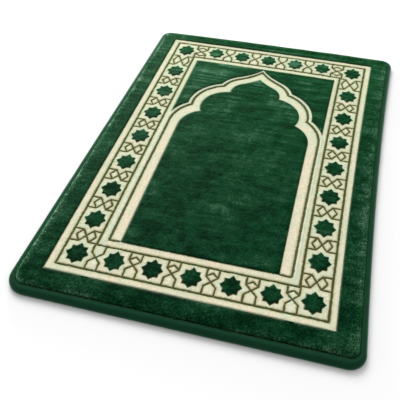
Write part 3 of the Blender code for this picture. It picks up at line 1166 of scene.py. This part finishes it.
def tape_section():
    """The folded tape's closed section, from the top hem over the edge to the floor hem, and back."""

    def top_point(share):
        """A point of the tape's top, from the hem at 0 to the round edge at 1."""
        inset = TAPE_REACH + (TAPE_ROUND_TOP - TAPE_REACH) * share
        return inset, TAPE_HEIGHT - TAPE_HEM_DIP * (1 - share) ** 4

    outer = [top_point(share) for share in np.linspace(0, 1, 11)[:-1]]
    outer += arc_section(TOP_CENTRE, TAPE_ROUND_TOP, 90, 0, 10)
    outer += arc_section(FOOT_CENTRE, TAPE_ROUND_FOOT, 0, -90, 7)
    outer += [(TAPE_FOOT_ROW, 0.0), (TAPE_REACH, 0.0)]
    inner = [(TAPE_REACH, TAPE_THICK), (TAPE_FOOT_ROW, TAPE_THICK)]
    inner += arc_section(FOOT_CENTRE, TAPE_ROUND_FOOT - TAPE_THICK, -90, 0, 5)
    inner += arc_section(TOP_CENTRE, TAPE_ROUND_TOP - TAPE_THICK, 0, 90, 7)
    for inset, height in map(top_point, np.linspace(1, 0, 8)[1:]):
        inner.append((inset, height - TAPE_THICK))
    return outer + inner


class RUG_OT_folded_tape(bpy.types.Operator):
    """Make the tape that is folded round the rug's rim"""

    bl_idname = "prayer_rug.folded_tape"
    bl_label = "Folded tape"

    def execute(self, context):
        insets, heights = zip(*tape_section())

        def puckered(ring, k):
            """Small puckers at the sewn hem, and the slack of a tape pulled round by hand."""
            x, y = ring[:, 0], ring[:, 1]
            at_top = heights[k] > TAPE_HEIGHT / 2
            hem = max(0.0, insets[k] / TAPE_REACH - PUCKER_START) if at_top else 0.0
            ring[:, 2] += PUCKER * hem * lumps(x, y, PUCKER_SIZE, 11)
            ring[:, 2] += SLACK * min(1.0, heights[k] / SLACK_HEIGHT) * lumps(x, y, SLACK_SIZE, 12)
            return ring

        material = tape_material(context.scene.rug_colours)
        across = np.array(insets)
        tape_light_and_shade = ramp(across, *TAPE_HIGHLIGHT_INSETS) - TAPE_SHADE * ramp(across, *TAPE_DRAWN_IN)
        shape = {"closed": True, "moved": puckered, "values": {"tape_light_and_shade": tape_light_and_shade}}
        tape = swept("folded_tape", insets, heights, TAPE_PER_SIDE, material, **shape)
        strip = 2 * TAPE_REACH - TAPE_ROUND_TOP - TAPE_ROUND_FOOT
        strip += pi / 2 * (TAPE_ROUND_TOP + TAPE_ROUND_FOOT)
        strip += TAPE_HEIGHT - TAPE_ROUND_TOP - TAPE_ROUND_FOOT
        edge = edge_loop(0.0, MEASURED_PER_SIDE)
        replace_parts(finish_piece(tape), "edge_binding")
        return {"FINISHED"}


class RUG_OT_stage(bpy.types.Operator):
    """Make the floor, the lights and the camera"""

    bl_idname = "prayer_rug.stage"
    bl_label = "Stage"

    def execute(self, context):
        scene = context.scene
        paint = opaque(scene.rug_colours.floor)
        material, _, _ = new_material(
            "matt_floor_paint", base_color=paint, roughness=0.9, specular_ior_level=0.1
        )
        corners = ((-1, -1), (1, -1), (1, 1), (-1, 1))
        points = [(x * FLOOR_REACH, y * FLOOR_REACH, -FLOOR_BELOW) for x, y in corners]
        floor = mesh_piece("floor", points, [0, 1, 2, 3], [4], [False], material)

        world = bpy.data.worlds.new("soft_room")
        world.use_nodes = True
        room = world.node_tree.nodes["Background"].inputs
        room["Color"].default_value = opaque((1.0, 1.0, 1.0))
        room["Strength"].default_value = ROOM_LIGHT
        scene.world = world

        for name, place, aim, size, power in LIGHTS:
            data = bpy.data.lights.new(name, "AREA")
            data.shape, data.size, data.energy = "DISK", size, power
            light = bpy.data.objects.new(name, data)
            light.location = place
            towards = [a - p for a, p in zip(aim, place)]
            light.rotation_mode = "QUATERNION"
            light.rotation_quaternion = Vector(towards).to_track_quat("-Z", "Y")
            scene.collection.objects.link(light)

        lens = bpy.data.cameras.new("camera")
        lens.sensor_width, lens.lens = SENSOR_WIDTH, FOCAL_LENGTH
        lens.clip_start, lens.clip_end = 0.05, 60.0
        camera = bpy.data.objects.new("camera", lens)
        camera.location = CAMERA_PLACE
        camera.rotation_euler = Euler((radians(90 - CAMERA_DOWN), 0.0, radians(CAMERA_TURN)), "XYZ")
        camera.rotation_euler.rotate_axis("Z", radians(CAMERA_ROLL))
        scene.collection.objects.link(camera)
        scene.camera = camera
        scene.view_settings.view_transform = "Standard"
        return {"FINISHED"}


STEPS = (
    RUG_OT_foam_pad,
    RUG_OT_pile_border,
    RUG_OT_star_bands,
    RUG_OT_pile_field,
    RUG_OT_rim_tufts,
    RUG_OT_folded_tape,
    RUG_OT_stage,
)


class RUG_PT_panel(bpy.types.Panel):
    """The steps that make the rug, in their order, with its sizes and colours"""

    bl_idname = "RUG_PT_panel"
    bl_label = "Prayer rug"
    bl_space_type = "VIEW_3D"
    bl_region_type = "UI"
    bl_category = "Rug"

    def draw(self, context):
        for step in STEPS:
            self.layout.operator(step.bl_idname)
        for group in (context.scene.rug_sizes, context.scene.rug_colours):
            box = self.layout.box()
            for name in group.__annotations__:
                box.prop(group, name)


CLASSES = (RugSizes, RugColours, *STEPS, RUG_PT_panel)


def register():
    for made in CLASSES:
        bpy.utils.register_class(made)
    bpy.types.Scene.rug_sizes = PointerProperty(type=RugSizes)
    bpy.types.Scene.rug_colours = PointerProperty(type=RugColours)


def unregister():
    del bpy.types.Scene.rug_colours
    del bpy.types.Scene.rug_sizes
    for made in reversed(CLASSES):
        bpy.utils.unregister_class(made)


def main():
    register()
    for step in STEPS:
        group, name = step.bl_idname.split(".")
        getattr(getattr(bpy.ops, group), name)()


if __name__ == "__main__":
    main()
